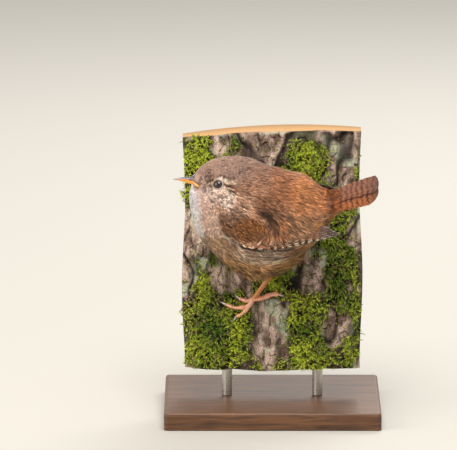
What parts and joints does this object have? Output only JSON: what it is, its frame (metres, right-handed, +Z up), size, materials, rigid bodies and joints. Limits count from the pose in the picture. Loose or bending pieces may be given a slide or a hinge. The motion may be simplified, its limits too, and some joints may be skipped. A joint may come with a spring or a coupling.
{
  "type": "wren display model",
  "caption": "Life-size model of a wren clinging to a mossy slab of tree trunk, with folded barred wings and a short cocked tail, held over a flat base by short rods.",
  "frame": {"origin": "centre of the underside of the stand's base", "axes": "+Z up, the bird faces -X and its left side faces -Y, the trunk's bark faces -Y and leans back"},
  "size_m": [0.1, 0.0927, 0.129],
  "materials": {
    "head_plumage": "soft small feathers, warm brown crown, pale brow line and throat",
    "neck_plumage": "soft small feathers, brown above and buff below",
    "body_plumage": "soft small feathers, rufous brown back, buff breast, barred flanks",
    "wing_feathers": "folded flight feathers and coverts, brown with dark and pale bars",
    "tail_feathers": "rufous tail feathers with narrow dark bars",
    "eye": "dark brown, wet and glossy",
    "bill_dark": "grey-brown horn, semi-gloss",
    "bill_yellow": "yellow horn, semi-gloss",
    "leg_skin": "pinkish orange scales with a feathered thigh",
    "foot_skin": "pinkish orange scales",
    "claw": "pale grey horn",
    "bark": "rough mossy bark in front, sawn wood on the other sides",
    "stand_wood": "dark satin wood",
    "stand_rod": "plain satin metal rod"
  },
  "bodies": {
    "root": {"head": "head_plumage", "neck": "neck_plumage", "torso": "body_plumage", "wing_left": "wing_feathers", "wing_right": "wing_feathers", "tail": "tail_feathers", "eye_left": "eye", "eye_right": "eye", "bill_upper": "bill_dark", "bill_lower": "bill_yellow", "leg_left": "leg_skin", "leg_right": "leg_skin", "foot_left": "foot_skin", "foot_right": "foot_skin", "claw_left_inner": "claw", "claw_left_middle": "claw", "claw_left_outer": "claw", "claw_left_hind": "claw", "claw_right_inner": "claw", "claw_right_middle": "claw", "claw_right_outer": "claw", "claw_right_hind": "claw", "perch_trunk": "bark", "stand_base": "stand_wood", "stand_rod_left": "stand_rod", "stand_rod_right": "stand_rod"}
  },
  "joints": []
}
